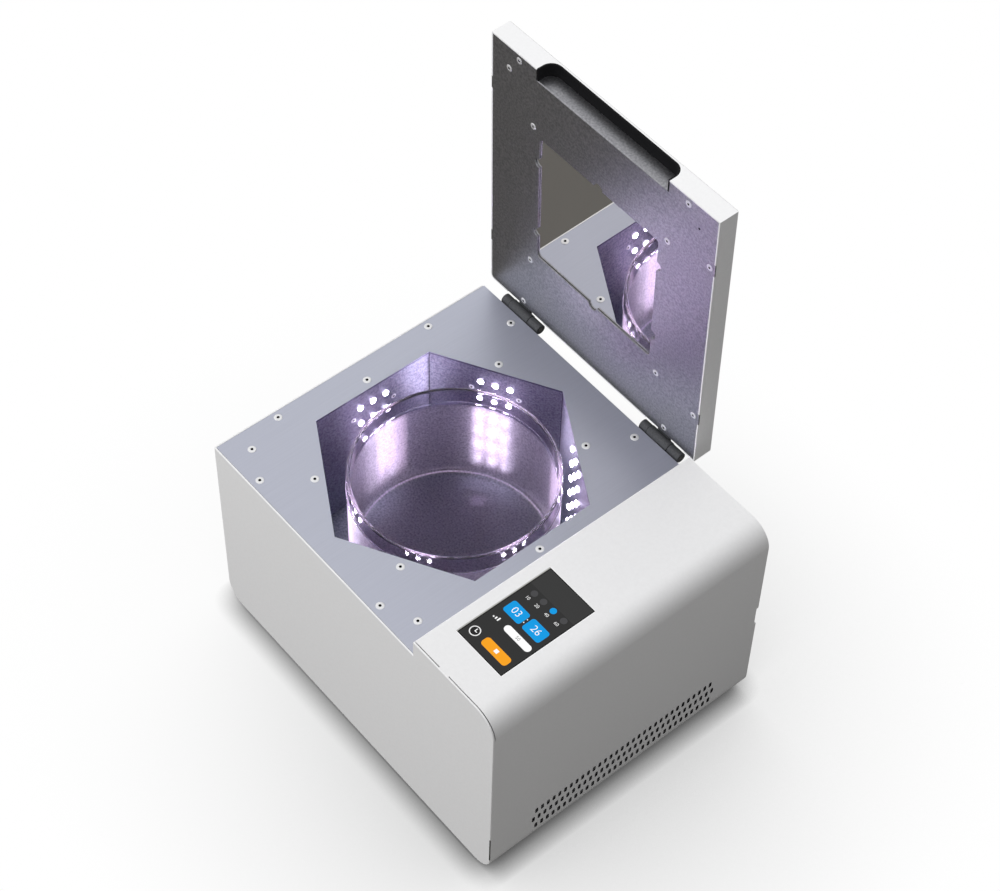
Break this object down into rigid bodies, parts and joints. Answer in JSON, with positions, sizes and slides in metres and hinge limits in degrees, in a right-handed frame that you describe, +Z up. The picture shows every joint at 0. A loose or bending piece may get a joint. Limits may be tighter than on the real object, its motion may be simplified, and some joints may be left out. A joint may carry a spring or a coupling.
{
  "type": "dental lab light curing unit",
  "caption": "Bench-top light curing unit for dental laboratories with an LED chamber, glass dish, mirrored lid on friction hinges and a display console.",
  "frame": {"origin": "on the surface that the feet stand on, under the middle of the cabinet", "axes": "+X to the right seen from the front, +Y to the back, +Z up; the lid rests open"},
  "size_m": [0.36, 0.3132, 0.5049],
  "materials": {
    "white_paint": "semi-gloss powder coat",
    "deck_steel": "brushed lengthwise",
    "chamber_steel": "satin",
    "zinc_steel": "zinc plated",
    "mirror_glass": "polished",
    "dish_glass": "clear, frosted below the bead",
    "black_plastic": "fine texture",
    "rocker_plastic": "gloss",
    "hinge_metal": "satin",
    "pin_steel": "ground",
    "display_black": "gloss",
    "module_plastic": "matt",
    "board_green": "solder mask",
    "board_black": "solder mask",
    "sink_aluminium": "mill finish",
    "foot_rubber": "matt",
    "magnet_nickel": "nickel plated"
  },
  "bodies": {
    "cabinet": {"board_standoffs": "zinc_steel", "cabinet_wrap": "white_paint", "catch_magnets": "magnet_nickel", "chamber_floor": "chamber_steel", "chamber_posts": "zinc_steel", "chamber_wall_back_left": "chamber_steel", "chamber_wall_back_right": "chamber_steel", "chamber_wall_front_left": "chamber_steel", "chamber_wall_front_right": "chamber_steel", "chamber_wall_left": "chamber_steel", "chamber_wall_right": "chamber_steel", "control_board": "board_green", "deck_plate": "deck_steel", "deck_rails": "zinc_steel", "dish_pads": "foot_rubber", "dish_rest": "chamber_steel", "display_glass": "display_black", "display_module": "module_plastic", "fan_frame": "black_plastic", "front_panel": "white_paint", "hinge_body_leaves": "hinge_metal", "hinge_pins": "pin_steel", "led_board_back_left": "board_black", "led_board_back_right": "board_black", "led_board_front_left": "board_black", "led_board_front_right": "board_black", "led_board_left": "board_black", "led_board_right": "board_black", "led_heat_sinks": "sink_aluminium", "lid_sensor": "black_plastic", "power_inlet": "black_plastic", "power_supply": "sink_aluminium", "rear_panel": "white_paint", "rubber_feet": "foot_rubber", "switch_housing": "black_plastic"},
    "lid": {"grip_liner": "black_plastic", "hinge_lid_leaves": "hinge_metal", "lid_magnets": "magnet_nickel", "lid_mirror": "mirror_glass", "lid_plate": "deck_steel", "lid_shell": "white_paint", "lid_standoffs": "zinc_steel", "mirror_clips": "zinc_steel", "mirror_seal": "foot_rubber"},
    "dish": {"glass_dish": "dish_glass"},
    "fan": {"fan_rotor": "black_plastic"},
    "switch": {"switch_rocker": "rocker_plastic"}
  },
  "joints": [
    {"name": "lid_hinge", "type": "hinge", "parent": "cabinet", "child": "lid", "pos_m": [0, 0.149, 0.2108], "axis": [-1, 0, 0], "range_deg": [-88.93, 6]},
    {"name": "dish_lift", "type": "slide", "parent": "cabinet", "child": "dish", "axis": [0, 0, 1], "range_m": [0, 0.01]},
    {"name": "fan_spin", "type": "hinge", "parent": "cabinet", "child": "fan", "pos_m": [0.132, 0.129, 0.13], "axis": [0, 1, 0], "continuous": true},
    {"name": "power_rocker", "type": "hinge", "parent": "cabinet", "child": "switch", "pos_m": [0.132, 0.141, 0.067], "axis": [1, 0, 0], "range_deg": [-16, 0]}
  ]
}
